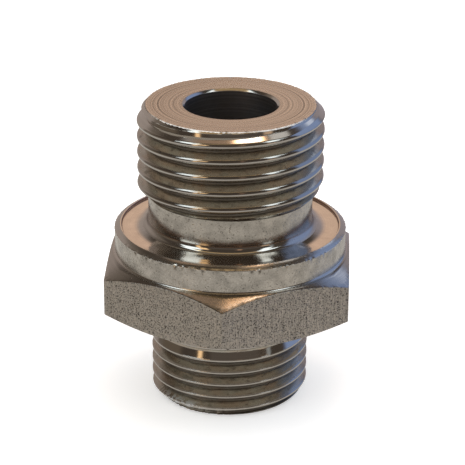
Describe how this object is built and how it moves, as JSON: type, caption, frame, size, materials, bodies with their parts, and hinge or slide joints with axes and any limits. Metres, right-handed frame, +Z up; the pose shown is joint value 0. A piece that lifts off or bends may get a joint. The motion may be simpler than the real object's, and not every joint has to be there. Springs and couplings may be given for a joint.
{
  "type": "hex nipple",
  "caption": "Unequal hex nipple: parallel pipe-thread stud with a metal sealing rim, wrench hexagon, and a metric threaded end with a cone socket for tube.",
  "frame": {"origin": "on the fitting's axis, in the plane of the tube end's face, which is the bottom of the part", "axes": "+Z up the axis from the tube end to the pipe-thread stud; two of the hexagon's flats face +X and -X"},
  "size_m": [0.027, 0.0312, 0.0343],
  "materials": {
    "turned_steel": "turned bright, fine concentric tool marks",
    "threaded_steel": "cut thread, satin flanks and bright crests",
    "drawn_steel": "cold-drawn flats, matte with fine dark pits"
  },
  "bodies": {
    "root": {"stud_core": "turned_steel", "stud_thread": "threaded_steel", "relief_neck": "turned_steel", "sealing_collar": "turned_steel", "wrench_hex": "drawn_steel", "tube_end_core": "turned_steel", "tube_end_thread": "threaded_steel"}
  },
  "joints": []
}
